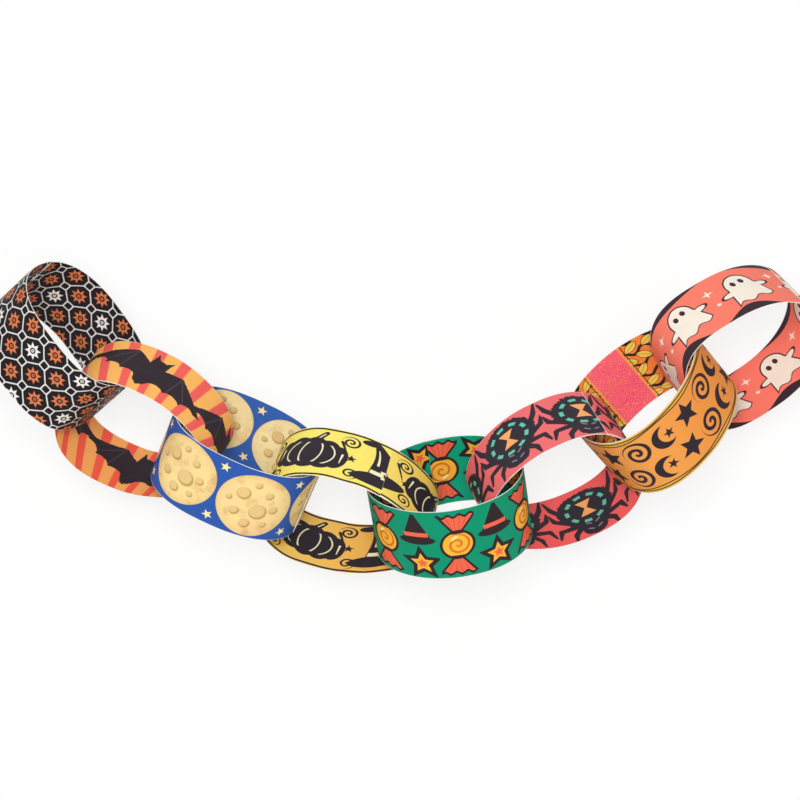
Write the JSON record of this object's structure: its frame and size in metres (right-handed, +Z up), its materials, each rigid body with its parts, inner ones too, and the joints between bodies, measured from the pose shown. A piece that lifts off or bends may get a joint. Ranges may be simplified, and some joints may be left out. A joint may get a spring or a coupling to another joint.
{
  "type": "paper chain garland",
  "caption": "Garland of printed card strips, each glued into a loop and linked through the next, lying in a shallow curve.",
  "frame": {"origin": "under the middle of the garland, on the surface it lies on", "axes": "+X along the garland from its left end to its right end, +Y towards the side that both ends bend to, +Z up"},
  "size_m": [0.4062, 0.1526, 0.0757],
  "materials": {
    "link_1_star_lattice_card": "black card printed on both sides with a white lattice of octagons and squares and eight-pointed stars, matt",
    "link_2_ray_bats_card": "card printed on both sides with orange and red rays, matt",
    "link_3_blue_moons_card": "card printed royal blue on both sides, matt",
    "link_4_yellow_hats_card": "card printed yellow fading to orange on both sides, with a black line along each edge, matt",
    "link_5_green_sweets_card": "card printed green on both sides, matt",
    "link_6_coral_spiders_card": "card printed coral on both sides, matt",
    "link_7_orange_banner_card": "card printed orange outside with yellow borders, and orange and pink inside, matt",
    "link_8_coral_ghosts_card": "card printed coral on both sides, matt"
  },
  "bodies": {
    "root": {"link_1_star_lattice": "link_1_star_lattice_card", "link_2_ray_bats": "link_2_ray_bats_card", "link_3_blue_moons": "link_3_blue_moons_card", "link_4_yellow_hats": "link_4_yellow_hats_card", "link_5_green_sweets": "link_5_green_sweets_card", "link_6_coral_spiders": "link_6_coral_spiders_card", "link_7_orange_banner": "link_7_orange_banner_card", "link_8_coral_ghosts": "link_8_coral_ghosts_card"}
  },
  "joints": []
}
